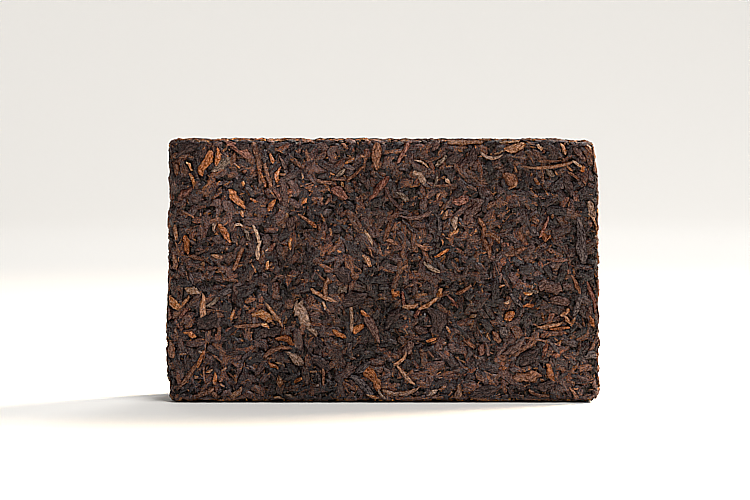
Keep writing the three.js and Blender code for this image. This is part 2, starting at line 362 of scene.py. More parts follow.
def stored(graph, geometry, name, value, kind="FLOAT", domain="POINT"):
    settings = {"data_type": kind, "domain": domain}
    values = {"Geometry": geometry, "Name": name, "Value": value}
    return graph.node("GeometryNodeStoreNamedAttribute", settings, values)


def mould_tree():
    """Presses a skin into the mould: each point goes out from the block's surface by its height, which is
    nought at the mould's own face and less below it. What would stand higher is pressed flat, and what lies
    near the piece that is kept clear sinks under it. Then the brick is stood on its foot, spread, worn and
    swollen."""
    graph, given = shape_tree("Press into the mould", {
        "Half Size": "Vector",
        "Edge Radius": "Float",
        "Foot Spread": "Float",
        "Rim Width": "Float",
        "Rim Drop": "Float",
        "Unevenness": "Float",
        "Waviness": "Float",
        "Crumbled": "Float",
        "Pressing": "Float",
        "Kept Clear": "Object",
        "Clearance": "Float",
    })
    half, radius = given["Half Size"], given["Edge Radius"]
    place = graph.node("GeometryNodeInputPosition")
    core = half - radius
    inner = graph.maths("MINIMUM", graph.maths("MAXIMUM", place, -core), core)
    out = graph.maths("NORMALIZE", place - inner)

    # How high each point stands: pressed flat, uneven, and with bites out of the narrow sides
    waves = given["Waviness"] * (graph.noise(place, CLUMP, 1.0) - 0.52)
    pressed_down = graph.maths("SMOOTH_MIN", named(graph, "height") + waves, 0.0, given["Pressing"])
    lumps = graph.noise(place, SWELLING, 3.0) - 0.5
    right_through = place * (1.0, 0.1, 1.0)
    bites = graph.noise(right_through, CRUMBLED_BIT, 3.0, 0.6) - 0.38
    lost = graph.maths("MAXIMUM", bites, 0.0) * given["Crumbled"]
    _, facing, _ = graph.parts(graph.maths("ABSOLUTE", out))
    _, _, upwards = graph.parts(out)
    uneven = given["Unevenness"] * (lumps - 0.35)
    narrow = graph.step(facing, 0.3, 1.0, 1.0, 0.0)
    off_the_foot = graph.step(upwards, -1.0, -0.8)
    height = pressed_down + (uneven - lost * narrow) * off_the_foot
    x, y, z = graph.parts(inner + out * (radius + height))

    # The rounder rim at the left of the front, the spread foot, and the wear
    half_x, _, half_z = graph.parts(half)
    from_end = x + half_x
    front = graph.maths("LESS_THAN", y, 0.0)
    lip = graph.step(from_end, given["Rim Width"] * 0.85, given["Rim Width"], 0.35, 0.0)
    slope = graph.maths("MAXIMUM", 1 - from_end / given["Rim Width"], 0.0)
    y = y + front * given["Rim Drop"] * (slope + lip)
    z = z + half_z
    x = x * (1 + (given["Foot Spread"] / half_x) * (1 - z / half_z))
    shifts = []
    for (at_x, at_z), reach, (move_x, move_z) in WEAR.values():
        away = ((x - at_x) ** 2.0 + (z - at_z) ** 2.0) / reach**2
        shifts.append((graph.maths("EXPONENT", -away), move_x, move_z))
    for near, move_x, move_z in shifts:
        x = x + near * move_x
        z = z + near * move_z
    place = graph.vector(x, y, z)

    # Room for the piece that is kept clear
    chosen = graph.node("GeometryNodeObjectInfo", None, {"Object": given["Kept Clear"]}, "Geometry")
    values = {0: chosen, "Sample Position": place}
    away = graph.node("GeometryNodeProximity", {"target_element": "FACES"}, values, "Distance")
    sunk = given["Clearance"] * graph.step(away, 0.1 * MM, 0.5 * MM, 1.0, 0.0)
    # The depth of each point below the mould's face, sunk parts included, which the finishes turn into
    # painted shade
    skin = stored(graph, given["Geometry"], "depth", sunk - pressed_down - uneven)
    skin = stored(graph, skin, "facing", facing)
    placed = graph.node("GeometryNodeSetPosition", None, {"Geometry": skin, "Position": place - out * sunk})
    return close_tree(graph, placed)


CROWDING = 4.0  # places tried in the square of the gap, which fill the skin
FAR_ALONG = 3.7  # from one leaf's grain to the next one's, so that no two are alike


def leaf_layer_tree():
    """Lays leaves of one kind over a skin, evenly spread, in drifts that run the same way."""
    graph, given = shape_tree("Layer of leaves", {
        "Leaves": "Collection",
        "Gap": "Float",
        "Highest": "Float",
        "Lowest": "Float",
        "Smallest": "Float",
        "Largest": "Float",
        "Drift Size": "Float",
        "Stray": "Float",
        "Cells": "Float",
        "Seed": "Int",
        "Material": "Material",
    })
    seed = given["Seed"]
    spread = {
        "Mesh": given["Geometry"],
        "Distance Min": given["Gap"],
        "Density Max": CROWDING / (given["Gap"] * given["Gap"]),
        "Seed": seed,
    }
    evenly = {"distribute_method": "POISSON"}
    points, facing = graph.node("GeometryNodeDistributePointsOnFaces", evenly, spread, ("Points", "Rotation"))
    place = graph.node("GeometryNodeInputPosition")

    def dice(low, high, number, kind="FLOAT"):
        values = {"Min": low, "Max": high, "Seed": seed + number}
        return graph.node("FunctionNodeRandomValue", {"data_type": kind}, values)

    drift = graph.noise(place, given["Drift Size"], 1.0) * (2 * TURN)
    either_way = TURN / 2 * graph.maths("ROUND", dice(0.0, 1.0, 3))
    angle = drift + given["Stray"] * dice(-1.0, 1.0, 2) + either_way
    turn = graph.node("FunctionNodeAxisAngleToRotation", None, {"Axis": (0.0, 0.0, 1.0), "Angle": angle})
    values = {"Rotation": facing, "Rotate By": turn}
    turned = graph.node("FunctionNodeRotateRotation", {"rotation_space": "LOCAL"}, values)
    scale = dice(given["Smallest"], given["Largest"], 4)
    values = {"Collection": given["Leaves"], "Separate Children": True, "Reset Children": True}
    leaves = graph.node("GeometryNodeCollectionInfo", None, values)
    laid = graph.node("GeometryNodeInstanceOnPoints", None, {
        "Points": points,
        "Instance": leaves,
        "Pick Instance": True,
        "Instance Index": dice(0, 9999, 5, "INT"),
        "Rotation": turned,
        "Scale": graph.vector(scale, scale, scale),
    })
    laid = stored(graph, laid, "leaf", graph.node("GeometryNodeInputIndex"), "INT", "INSTANCE")
    laid = stored(graph, laid, "tone", dice(0.0, 1.0, 6), domain="INSTANCE")
    laid = stored(graph, laid, "level", dice(given["Lowest"], given["Highest"], 7), domain="INSTANCE")
    skin = graph.node("GeometryNodeRealizeInstances", None, {"Geometry": laid})
    skin = stored(graph, skin, "height", named(graph, "height") + named(graph, "level"))
    leaf = named(graph, "leaf", "INT")
    grain = named(graph, "grain", "FLOAT_VECTOR") + graph.vector(0.0, 0.0, leaf * FAR_ALONG)
    skin = stored(graph, skin, "grain", grain, "FLOAT_VECTOR")
    column = graph.maths("FLOORED_MODULO", leaf, given["Cells"])
    row = graph.maths("FLOOR", leaf / given["Cells"])
    cell = (named(graph, "cell", "FLOAT_VECTOR") + graph.vector(column, row, 0.0)) / given["Cells"]
    skin = stored(graph, skin, "OFBake", cell, "FLOAT2", "CORNER")
    for spent in ("cell", "leaf", "level"):
        skin = graph.node("GeometryNodeRemoveAttribute", None, {"Geometry": skin, "Name": spent})
    return close_tree(graph, skin, given["Material"])


def chosen_tree():
    """Joins leaves that have each been given their own place."""
    graph, given = shape_tree("Chosen leaves", {
        "Leaves": "Collection",
        "Cells": "Float",
        "Material": "Material",
    })
    leaves = graph.node("GeometryNodeCollectionInfo", None, {"Collection": given["Leaves"]})
    skin = graph.node("GeometryNodeRealizeInstances", None, {"Geometry": leaves})
    cell = named(graph, "cell", "FLOAT_VECTOR") / given["Cells"]
    skin = stored(graph, skin, "OFBake", cell, "FLOAT2", "CORNER")
    skin = graph.node("GeometryNodeRemoveAttribute", None, {"Geometry": skin, "Name": "cell"})
    return close_tree(graph, skin, given["Material"])


def matted_tree():
    """Gives a skin the crumbly relief of matted tea, as a height below the mould's face."""
    graph, given = shape_tree("Matted tea", {
        "Depth": "Float",
        "Relief": "Float",
        "Crumb Size": "Float",
        "Material": "Material",
    })
    place = graph.node("GeometryNodeInputPosition")
    warp = graph.node("ShaderNodeTexNoise", None, {"Vector": place, "Scale": 1 / MAT_WARP}, "Color")
    values = {"Vector": place + warp * (3 * MM), "Scale": 1 / given["Crumb Size"]}
    crumbs = graph.node("ShaderNodeTexVoronoi", {"feature": "F1"}, values, "Distance")
    lumps = graph.noise(place, MAT_LUMP, 3.0) - 0.5
    height = given["Relief"] * (lumps - graph.step(crumbs, 0.1, 0.8)) - given["Depth"]
    skin = stored(graph, given["Geometry"], "height", height)
    skin = graph.node("GeometryNodeRealizeInstances", None, {"Geometry": skin})
    return close_tree(graph, skin, given["Material"])


def pressed(piece, *steps):
    """Puts the piece through these trees, each with its own inputs, and leaves it a plain mesh."""
    for tree, values in steps:
        modifier = piece.modifiers.new(tree.name, "NODES")
        modifier.node_group = tree
        for item in tree.interface.items_tree:
            if item.in_out == "INPUT" and item.name in values:
                modifier[item.identifier] = values[item.name]
    graph = bpy.context.evaluated_depsgraph_get()
    finished = piece.evaluated_get(graph)
    mesh = bpy.data.meshes.new_from_object(finished, preserve_all_data_layers=True, depsgraph=graph)
    piece.modifiers.clear()
    before = piece.data
    piece.data = mesh
    mesh.name = piece.name
    bpy.data.meshes.remove(before)
    return piece


# ---------------------------------------------------------------- plain meshes


def mesh_of(name, points, faces):
    mesh = bpy.data.meshes.new(name)
    mesh.from_pydata(points, [], faces)
    mesh.update()
    return mesh


def smooth(mesh):
    mesh.polygons.foreach_set("use_smooth", np.ones(len(mesh.polygons), bool))


def new_piece(name, mesh):
    piece = bpy.data.objects.new(name, mesh)
    bpy.context.scene.collection.objects.link(piece)
    return piece


def hand_over(piece):
    """Makes sure the finished piece has faces, puts it on its body and hides the part that it stands in for.
    """
    if not piece.data.polygons:
        raise RuntimeError(f"{piece.name} came out empty")
    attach(piece, BODY)
    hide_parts(NODE)


def cuts_along(half, radius, cell, rounds):
    """Where the skin is cut along one axis: evenly over the flat, and in equal turns over rounded edges."""
    flat = half - radius
    middle = np.linspace(-flat, flat, max(2, round(2 * flat / cell)) + 1)
    edge = flat + radius * np.tan(np.linspace(0, math.pi / 4, rounds + 1))[1:]
    return np.concatenate([-edge[::-1], middle, edge])


def block_skin(name, radius, cell, rounds):
    """The block's skin, closed, cut into cells. Each point is kept once, by its place in the grid."""
    cuts = [cuts_along(half, radius, cell, rounds) for half in HALF]
    ends = [len(c) - 1 for c in cuts]
    known, points, faces = {}, [], []

    def corner(*index):
        if index not in known:
            known[index] = len(points)
            points.append([cuts[axis][i] for axis, i in enumerate(index)])
        return known[index]

    for axis in range(3):
        across, up = (axis + 1) % 3, (axis + 2) % 3
        for side in (0, ends[axis]):
            for i in range(ends[across]):
                for j in range(ends[up]):
                    ring = []
                    for di, dj in ((0, 0), (1, 0), (1, 1), (0, 1)):
                        index = [0, 0, 0]
                        index[axis], index[across], index[up] = side, i + di, j + dj
                        ring.append(corner(*index))
                    faces.append(ring if side else ring[::-1])
    points = np.array(points)
    core = np.array(HALF) - radius
    inner = np.clip(points, -core, core)
    out = points - inner
    out /= np.linalg.norm(out, axis=1, keepdims=True)
    return mesh_of(name, inner + radius * out, faces)


# ---------------------------------------------------------------- one leaf


class Form:
    """How the leaves of one kind are shaped, beyond their sizes."""

    def __init__(self, variety, rows, ribs, **ranges):
        self.variety = variety  # how many different leaves
        self.rows = rows  # cuts along a leaf
        self.ribs = ribs  # points across its upper side
        self.ranges = {
            "blunt": (0.2, 0.5),  # width of the ends, as a share of the middle
            "point": (0.5, 1.0),  # how early it narrows towards them
            "lean": (-0.35, 0.35),  # how far its widest part lies from the middle, in half lengths
            "bow": (-0.5, 0.5),  # bend in its plane, in radians
            "wander": (0.0, 0.25),  # of its middle line from side to side, in widths
            "ragged": (0.05, 0.2),  # unevenness of its sides, in widths
            "folds": (1.0, 2.4),  # folds across it
            "twist": (-1.2, 1.2),  # folds that cross over along it
            "plateau": (1.5, 4.0),  # how flat its back is pressed
            "dive": (0.4, 1.0),  # how far its ends go under, in thicknesses
            "tilt": (-0.4, 0.4),  # how far one side lies lower, in thicknesses
            "pitch": (-0.4, 0.4),  # how far one end lies lower, in thicknesses
            "skew": (-0.4, 0.4),  # how far its ends are cut aslant, in widths
        }
        self.ranges.update(ranges)

    def draw(self, dice):
        return {name: dice.uniform(*ends) for name, ends in self.ranges.items()}


def soft_line(dice, places, waves=3):
    """A soft random line through these places, from about -1 to 1."""
    line = np.zeros_like(places)
    for wave in range(1, waves + 1):
        line += dice.normal() / wave * np.sin(wave * math.pi * places + dice.uniform(0, TURN))
    return line / 1.6


def crowded(count):
    """Places from -1 to 1 that crowd towards both ends, where a leaf's back turns down to its rim."""
    even = np.linspace(-1, 1, count)
    return np.sign(even) * np.sqrt(np.abs(even))


# Parts of a leaf's thickness: from its back down to its rim, the depth of a fold, how far its back wavers,
# and from its rim down to the keel under it
RIM, FOLD, WAVER, KEEL = 0.95, 0.38, 0.18, 0.5
MAP_MARGIN = 0.04  # left free round a leaf's own map


def leaf_mesh(name, dice, form, length, width, thickness):
    """One leaf lying flat, closed all round, with X along it. How far each point is below the leaf's top is
    kept as its height, because the mould sets it. Its grain runs along it, and its cell is its own map."""
    way = form.draw(dice)
    rows, ribs = form.rows, form.ribs
    s, t = crowded(rows), crowded(ribs)
    along = s + way["lean"] * (1 - s**2)
    belly = (1 - np.abs(along) ** dice.uniform(1.6, 3.0)) ** way["point"]
    half = width / 2 * (way["blunt"] + (1 - way["blunt"]) * belly)
    left = half * (1 + way["ragged"] * dice.normal(size=rows))
    right = half * (1 + way["ragged"] * dice.normal(size=rows))
    middle = way["bow"] * length * (s**2 - 1 / 3) / 4 + way["wander"] * width * soft_line(dice, s)
    across = np.where(t < 0, left[:, None], right[:, None]) * t
    phase = way["folds"] * t / 2 + way["twist"] * s[:, None] / 2 + dice.uniform()
    phase = phase + 0.12 * soft_line(dice, s)[:, None]
    crest = (0.5 + 0.5 * np.cos(TURN * phase)) ** 0.8
    inside = 1 - np.abs(t) ** way["plateau"] + 0 * across
    height = -thickness * (
        RIM * (1 - inside)
        + FOLD * (1 - crest) * inside
        + way["dive"] * np.abs(s[:, None]) ** 6
        + way["tilt"] * t
        + way["pitch"] * s[:, None]
        + 0.5 * (abs(way["tilt"]) + abs(way["pitch"]))
        + WAVER * (soft_line(dice, s)[:, None] + 1)
    )
    ring = ribs + 1
    points = np.zeros((rows, ring, 3))
    points[:, :ribs, 0] = s[:, None] * length / 2 + way["skew"] * across * np.abs(s[:, None])
    points[:, :ribs, 1] = middle[:, None] + across
    points[:, ribs, 0] = points[:, :ribs, 0].mean(axis=1)
    points[:, ribs, 1] = middle
    grain = np.zeros_like(points)
    grain[:, :, 0] = s[:, None] * length / 2
    grain[:, :ribs, 1] = across
    grain[:, ribs, 1] = width
    faces, cells = [], []
    for i in range(rows - 1):
        for j in range(ring):
            k = (j + 1) % ring
            faces.append([i * ring + j, (i + 1) * ring + j, (i + 1) * ring + k, i * ring + k])
            u0, u1 = (i + 0.5) / rows, (i + 1.5) / rows
            v0, v1 = rib_place(j, ribs), rib_place(j + 1, ribs)
            cells += [(u0, v0), (u1, v0), (u1, v1), (u0, v1)]
    for i, u, way_round in ((0, 0.25, 1), (rows - 1, rows - 0.25, -1)):
        turns = [TURN * j / ring for j in range(ring)][::way_round]
        faces.append([i * ring + j for j in range(ring)][::way_round])
        cells += [((u + 0.2 * math.cos(turn)) / rows, 0.5 + 0.4 * math.sin(turn)) for turn in turns]
    mesh = mesh_of(name, points.reshape(-1, 3), faces)
    put(mesh, "height", with_keel(height, height.min(axis=1) - KEEL * thickness))
    put(mesh, "ridge", with_keel(crest * inside, np.zeros(rows)))
    put(mesh, "inside", with_keel(inside, np.zeros(rows)))
    put(mesh, "grain", grain.ravel(), "FLOAT_VECTOR")
    flat = np.zeros((len(cells), 3))
    flat[:, :2] = MAP_MARGIN + (1 - 2 * MAP_MARGIN) * np.array(cells)
    put(mesh, "cell", flat.ravel(), "FLOAT_VECTOR", "CORNER")
    smooth(mesh)
    return mesh


def with_keel(upper, keel):
    """The values of a leaf's points, row by row: those of its upper side, then that of the keel under it."""
    return np.concatenate([upper, keel[:, None]], axis=1).ravel()


def rib_place(j, ribs):
    """Where the j-th point round a leaf lies across its map: its upper side takes most of it."""
    return 0.8 * j / (ribs - 1) if j < ribs else 0.9 if j == ribs else 1.0


def put(mesh, name, values, kind="FLOAT", domain="POINT"):
    layer = mesh.attributes.new(name, kind, domain)
    layer.data.foreach_set("vector" if kind == "FLOAT_VECTOR" else "value", np.asarray(values, np.float32))


# ---------------------------------------------------------------- finishes

SHADES = ("dark", "body", "light")
DRAWN_OUT = (0.18, 1.0, 1.0)  # how a pattern on the grain is stretched along the leaf
# The cool tint of the grey flecks, a painted sheen
COOL_SHEEN_TINT = (0.96, 1.06, 1.36)
EDGE_WEAR_AND_RIM_LIGHT = (0.75, 1.05, 0.85)  # what the brick's rounded edges add to each part of a colour: paler broken leaf ends, and partly a painted rim light
ELSEWHERE = 0.02, 0.05  # moves a pattern along the grain, so that two of one size don't match


def new_material(name):
    material = bpy.data.materials.new(name)
    material.use_nodes = True
    return material, Graph(material.node_tree)


def attribute(graph, name, out="Fac"):
    return graph.node("ShaderNodeAttribute", {"attribute_name": name}, None, out)


def mixed(graph, factor, a, b):
    return graph.node("ShaderNodeMix", {"data_type": "RGBA"}, {"Factor": factor, "A": a, "B": b})


def dull_in_hollows(graph, hollow, colour, roughness, height, depth, sheen=SHEEN):
    """The shader of dry leaf: it shines a little on its ridges, and not at all where hollow is high, where a
    dull copy of it paints the shade of hollows that light can't reach.
    """
    normal = graph.node("ShaderNodeBump", None, {"Strength": 1.0, "Distance": depth, "Height": height})
    leaf = graph.node("ShaderNodeBsdfPrincipled", None, {
        "Base Color": colour,
        "Roughness": roughness,
        "Normal": normal,
        "Specular IOR Level": sheen,
    })
    # A dull copy with no shine: a painted shade of the shine, for hollows
    dark = graph.node("ShaderNodeBsdfPrincipled", None, {
        "Base Color": colour,
        "Roughness": 1.0,
        "Normal": normal,
        "Specular IOR Level": 0.0,
    })
    both = graph.node("ShaderNodeMixShader", None, {0: hollow, 1: leaf, 2: dark})
    graph.node("ShaderNodeOutputMaterial", None, {"Surface": both})


def on_broad_face(graph, facing):
    """How much of its gloss the tea has: all of it on the broad faces, and less round the narrow sides."""
    return graph.step(facing, 0.0, 0.6, 0.4, 1.0)


def lines(graph, noise):
    """How far soft noise is from its middle, which is nought along thin winding lines."""
    return graph.maths("ABSOLUTE", noise - 0.5)


def leaf_finish(name, look, sheen=SHEEN):
    """A dry pressed leaf: wrinkled along its length, black in the creases by painted shade, and paler where
    its ridges are worn. Where the look has no shades of its own, each leaf has them."""
    material, graph = new_material(name)

    # What the leaf and the mould say about each place
    shades = [getattr(look, shade, None) or attribute(graph, shade, "Vector") for shade in SHADES]
    dark, body, light = [shade if isinstance(shade, Wire) else tuple(shade) for shade in shades]
    tone, ridge = attribute(graph, "tone"), attribute(graph, "ridge")
    inside, depth, facing = attribute(graph, "inside"), attribute(graph, "depth"), attribute(graph, "facing")
    edge = graph.step(facing, 0.0, 0.3, 0.25, 1.0) * graph.step(facing, 0.3, 0.85, 1.0, 0.0)
    broad = on_broad_face(graph, facing)
    grain = attribute(graph, "grain", "Vector")
    place = graph.node("ShaderNodeTexCoord", None, None, "Object")

    # Its relief: folds and fibres along the leaf, and cracks and specks anywhere
    along = grain * DRAWN_OUT
    folds = lines(graph, graph.noise(along, look.wrinkle * 2, 2.0, 0.5, 0.3))
    fibre = graph.noise(along, look.wrinkle, 2.0, 0.5, 0.2)
    speck = graph.noise(place, SPECK, 2.0, 0.6)
    cracks = lines(graph, graph.noise(place, CRACK, 3.0, 0.6, 0.3))
    relief = graph.step(folds, 0.0, 0.2) * 0.35 + graph.step(cracks, 0.0, 0.1) * 0.25
    relief = relief + fibre * 0.35 + speck * 0.15

    # Its colour: younger or older, with grey flecks on it that are partly a painted cool sheen, and paler
    # threads where it is worn
    patch = graph.noise(place, look.patch, 2.0)
    region = graph.noise(place, REGION, 2.0)
    grey = graph.step(graph.noise(place, GREY_FLECK, 3.0, 0.7), 0.44, 0.62, 0.0, look.greying)
    threads = lines(graph, graph.noise(along + ELSEWHERE[1], look.wrinkle * 0.9, 2.0, 0.5, 0.2))
    age = graph.step(tone * 0.45 + patch * 0.4 + (speck - 0.5) * 1.0, 0.15, 0.75)
    colour = mixed(graph, age, dark, body)
    vivid = 1.95 - 0.9 * grey - 1.2 * region + 0.4 * edge - 0.6 * (1 - broad)
    colour = graph.node("ShaderNodeHueSaturation", None, {"Saturation": vivid, "Color": colour})
    colour = mixed(graph, grey, colour * 0.9, colour * COOL_SHEEN_TINT)
    some = tone * 0.5 + patch * 0.6 + (speck - 0.5) * 0.5 + ridge * 0.1 + edge * 0.3
    some = graph.step(some, 0.4, 0.8, 0.0, look.wear)
    worn = graph.step(threads, 0.02, 0.10, 1.0, 0.0) * some
    colour = mixed(graph, worn, colour, light)

    # Painted shade: it is darkened in its creases and cracks, round its rim and deep between the leaves,
    # where shade falls
    low = graph.step(depth, 0.5 * MM, 1.5 * MM, 1.0, 0.3)
    rim = graph.step(inside, 0.1, 0.7, 0.1, 1.0)
    crease_shade = graph.step(folds, 0.012, 0.06, 0.4, 1.0) * graph.step(cracks, 0.004, 0.022, 0.2, 1.0)
    painted_lit = low * rim * crease_shade
    # Its shade varies by leaf, by region and by fine speck, and is lighter where the fibres stand high in the
    # bump and darker between them
    shade = (0.71 + 0.4 * tone) * (0.5 + fibre) * (1 + look.regional * (3.4 * region - 1.7))
    shade = shade * (0.5 + graph.noise(along + ELSEWHERE[0], SPECK, 1.0))
    # Lighter round the brick's rounded edges: paler broken leaf ends, and partly a painted rim light
    colour = colour * ((0.29 + 0.44 * painted_lit) * shade) * (1 + edge * EDGE_WEAR_AND_RIM_LIGHT)
    rough = graph.step(speck + fibre * 0.4, 0.4, 1.0, 0.18, 0.38)
    rough = rough + graph.step(facing, 0.2, 0.95, 0.35, 0.0)
    dull_in_hollows(graph, 1 - painted_lit * broad, colour, rough, relief, look.furrow, sheen)
    return material


def matted_finish(name, look):
    """The matted tea between the leaves: crumbs, near black in the hollows by painted shade."""
    material, graph = new_material(name)
    place = graph.node("ShaderNodeTexCoord", None, None, "Object")
    depth = attribute(graph, "depth")
    crumb = graph.noise(place, MAT_CRUMB, 3.0, 0.6, 0.8)
    fine = graph.noise(place, SPECK, 2.0)
    relief = crumb * 0.65 + fine * 0.35
    # Its colour follows its bump: the hollows' colour where the crumbs lie low, a painted shade, and the
    # palest where it stands high
    colour = mixed(graph, graph.step(crumb, 0.4, 0.6), look.dark, look.body)
    colour = mixed(graph, graph.step(relief, 0.54, 0.68, 0.0, look.wear), colour, look.light)
    # Painted shade: darker low in the bump and deep below the leaves
    painted_lit = graph.step(relief, 0.40, 0.52) * graph.step(depth, 0.4 * MM, 1.5 * MM, 1.0, 0.25)
    colour = colour * (0.18 + 0.82 * painted_lit)
    broad = on_broad_face(graph, attribute(graph, "facing"))
    dull_in_hollows(graph, 1 - painted_lit * broad, colour, 0.7, relief, SPECK)
    return material


# ---------------------------------------------------------------- settings


def size(label, what, default):
    return FloatProperty(name=label, description=what, default=default, unit="LENGTH", precision=5)


def span(label, what, ends):
    return FloatVectorProperty(name=label, description=what, default=ends, size=2, unit="LENGTH", precision=5)


def levels_span(ends):
    return span("Levels", "Lowest and highest level of its back, from the mould's face", ends)


def tint(label, what, default):
    limits = {"size": 3, "subtype": "COLOR", "min": 0, "max": 1}
    return FloatVectorProperty(name=label, description=what, default=default, **limits)


def share(label, what, default):
    return FloatProperty(name=label, description=what, default=default, min=0, max=1, subtype="FACTOR")


def power(label, what, default):
    return FloatProperty(name=label, description=what, default=default, unit="POWER")


def any_number(what, default):
    return IntProperty(name="Seed", description=what, default=default)


class BrickSizes(bpy.types.PropertyGroup):
    edge_radius: size("Edge rounding", "Rounding that the press leaves on every edge", 2.9 * MM)
    rim_width: size("Left rim", "Width of the rounder rim down the front's left edge", 3.4 * MM)
    rim_drop: size("Left rim drop", "How far that rim falls back at the brick's end", 1.1 * MM)
    unevenness: size("Unevenness", "How far the pressed faces wander up and down", 0.35 * MM)
    waviness: size("Waviness", "How far clumps of leaf stand higher or lower than their neighbours", 0.9 * MM)
    crumbled: size("Crumbled sides", "How far leaf has come away from the narrow sides", 2.6 * MM)
    pressing: size("Pressing", "How gently a leaf's back is pressed flat against the mould", 0.4 * MM)


class MattedTea(bpy.types.PropertyGroup):
    cell: size("Cell", "Size of one facet of the matted tea", 0.94 * MM)
    depth: size("Depth", "How far the matted tea lies below the leaves' tops", 0.5 * MM)
    relief: size("Relief", "Height of its crumbs", 0.5 * MM)
    crumb: size("Crumb", "Size of one crumb", 1.6 * MM)
    # The hollows' colour is a painted shade, laid where the crumbs' bump lies low
    dark: tint("Hollows", "Colour of the hollows", (0.007, 0.005, 0.004))
    body: tint("Crumbs", "Colour of the crumbs", (0.03, 0.018, 0.013))
    light: tint("Specks", "Colour of the palest crumbs", (0.10, 0.055, 0.032))
    wear: share("Pale share", "How strongly the palest crumbs show", 0.7)


def loose_leaf(form, gap, length, width, thickness, levels, dark, body, light, seed, wear=0.8, furrow=0.28):
    """One kind of loose leaf: its form, and its settings with their defaults. Sizes are in millimetres."""
    return form, {
        "gap": size("Gap", "Least distance between the middles of two of them", gap * MM),
        "length": span("Length", "Shortest and longest", [v * MM for v in length]),
        "width": span("Width", "Narrowest and widest", [v * MM for v in width]),
        "thickness": size("Thickness", "From its pressed back down to its rim", thickness * MM),
        "levels": levels_span([v * MM for v in levels]),
        "dark": tint("Dark", "Colour of the darkest ones", dark),
        "body": tint("Body", "Colour of the others", body),
        "light": tint("Worn", "Colour of worn ridges", light),
        "wear": share("Wear", "How strongly the worn ridges show", wear),
        "wrinkle": size("Wrinkle", "Width of one of its wrinkles", 0.27 * MM),
        "furrow": size("Furrow", "Depth of its wrinkles", furrow * MM),
        "patch": size("Patch", "Size of darker and lighter patches", 5 * MM),
        "regional": share("Regional", "How far its shade follows that of its region of the brick", 1.0),
        "greying": share("Greying", "How far its surface turns grey in small patches", 1.0),
        "seed": any_number("Another number lays them another way", seed),
    }


CRUMPLED = dict(blunt=(0.4, 0.95), bow=(-0.3, 0.3), wander=(0.0, 0.12), ragged=(0.05, 0.14), folds=(1.4, 3.2),
                twist=(-1.2, 1.2), plateau=(2.5, 5.0), skew=(-0.7, 0.7))
TIP = dict(blunt=(0.1, 0.25), bow=(-0.6, 0.6), ragged=(0.0, 0.08), folds=(2.0, 3.0))
ROD = dict(blunt=(0.7, 0.9), bow=(-0.3, 0.3), wander=(0.0, 0.5), ragged=(0.02, 0.1), folds=(1.0, 2.0),
           twist=(-0.3, 0.3), plateau=(1.5, 2.5), dive=(0.0, 0.4))
BROKEN = dict(blunt=(0.4, 0.8), ragged=(0.1, 0.4), folds=(0.5, 1.5))

# Each kind's form, then its gap, length, width, thickness and levels, and its dark, body and worn colours
KINDS = {
    "black_leaves": loose_leaf(
        Form(40, 6, 6, **CRUMPLED), 3.3, (3.2, 7.5), (1.8, 3.8), 0.5, (-0.3, 0.1), (0.026, 0.0120, 0.0120),
        (0.050, 0.0220, 0.0222), (0.22, 0.100, 0.070), seed=11, wear=0.7, furrow=0.2),
    "brown_leaves": loose_leaf(
        Form(40, 6, 6, **CRUMPLED), 3.4, (3.0, 7.0), (1.5, 3.2), 0.5, (-0.3, 0.08), (0.031, 0.0130, 0.0120),
        (0.064, 0.0264, 0.0238), (0.33, 0.122, 0.046), seed=23),
    "red_leaves": loose_leaf(
        Form(32, 6, 6, **CRUMPLED), 4.2, (3.0, 7.0), (1.4, 3.0), 0.5, (-0.3, 0.08), (0.032, 0.0122, 0.0120),
        (0.066, 0.0240, 0.0228), (0.34, 0.112, 0.042), seed=29),
    "thin_strips": loose_leaf(
        Form(32, 6, 4), 4.2, (2.6, 7.5), (0.5, 1.0), 0.5, (-0.25, 0.08), (0.029, 0.0124, 0.0114),
        (0.073, 0.0288, 0.0250), (0.39, 0.148, 0.052), seed=31),
    # The black flakes' grey worn colour is wear, and partly painted glints on their ridges
    "black_flakes": loose_leaf(
        Form(40, 4, 5, **CRUMPLED), 2.9, (1.8, 4.0), (0.9, 1.9), 0.5, (-0.35, 0.08), (0.026, 0.0118, 0.0116),
        (0.051, 0.0234, 0.0242), (0.20, 0.130, 0.120), seed=37, furrow=0.2),
    "russet_leaves": loose_leaf(
        Form(30, 5, 5, **CRUMPLED), 4.2, (1.4, 3.8), (0.5, 1.2), 0.55, (-0.3, 0.12), (0.066, 0.0218, 0.0110),
        (0.255, 0.084, 0.0275), (0.58, 0.248, 0.086), seed=41),
    "golden_buds": loose_leaf(
        Form(20, 7, 5, **TIP), 11.0, (2.0, 4.5), (0.6, 1.2), 0.55, (-0.3, 0.05), (0.164, 0.0601, 0.0216),
        (0.4, 0.164, 0.0647), (0.655, 0.364, 0.176), seed=53),
    "stalks": loose_leaf(
        Form(12, 9, 6, **ROD), 14.0, (7.0, 14.0), (0.5, 0.9), 0.6, (-0.25, 0.1), (0.0546, 0.0228, 0.0157),
        (0.182, 0.0655, 0.0372), (0.473, 0.209, 0.108), seed=61),
    "crumbs": loose_leaf(
        Form(24, 3, 4, **BROKEN), 1.65, (0.8, 2.2), (0.4, 0.9), 0.45, (-0.3, 0.1), (0.0309, 0.0130, 0.0096),
        (0.17, 0.0570, 0.0200), (0.52, 0.212, 0.070), seed=71),
}
KIND_GROUPS = {
    kind: type(kind.title().replace("_", ""), (bpy.types.PropertyGroup,), {"__annotations__": settings})
    for kind, (_, settings) in KINDS.items()
}


